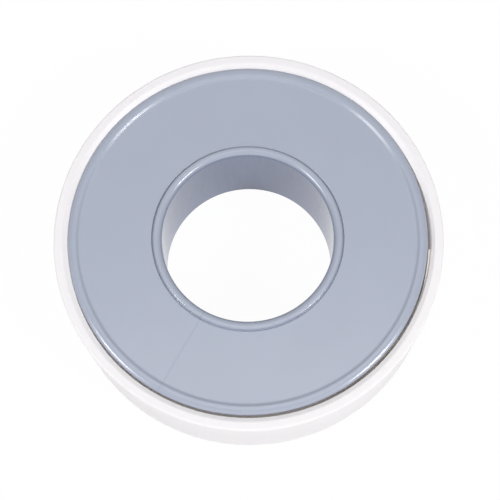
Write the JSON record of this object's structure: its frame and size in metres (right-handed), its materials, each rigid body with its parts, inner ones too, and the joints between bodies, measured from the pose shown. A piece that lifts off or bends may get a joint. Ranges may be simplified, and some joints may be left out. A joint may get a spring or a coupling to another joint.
{
  "type": "thread seal tape roll",
  "caption": "Roll of thread seal tape: a grey flanged spool wound with thin white tape turns in a white cup-shaped shell, and the tape is drawn out through the gap at the shell's lip.",
  "frame": {"origin": "on the shell's axis, where its flat back meets the surface the roll lies on", "axes": "+Z along the spool's bore, from the shell's back to the spool's flange; +X towards the side where the tape comes out at the lip"},
  "size_m": [0.054, 0.054, 0.0163],
  "materials": {
    "shell_plastic": "white moulded polypropylene, satin",
    "spool_plastic": "blue-grey moulded polystyrene, satin",
    "sealing_tape": "white unsintered fluoropolymer film, soft and waxy"
  },
  "bodies": {
    "shell": {"shell": "shell_plastic", "tape_end": "sealing_tape"},
    "spool": {"spool": "spool_plastic", "tape_winding": "sealing_tape"}
  },
  "joints": [
    {"name": "spool_spin", "type": "hinge", "parent": "shell", "child": "spool", "pos_m": [-0.00009, 0.00016, 0.008], "axis": [0, 0, 1], "continuous": true}
  ]
}
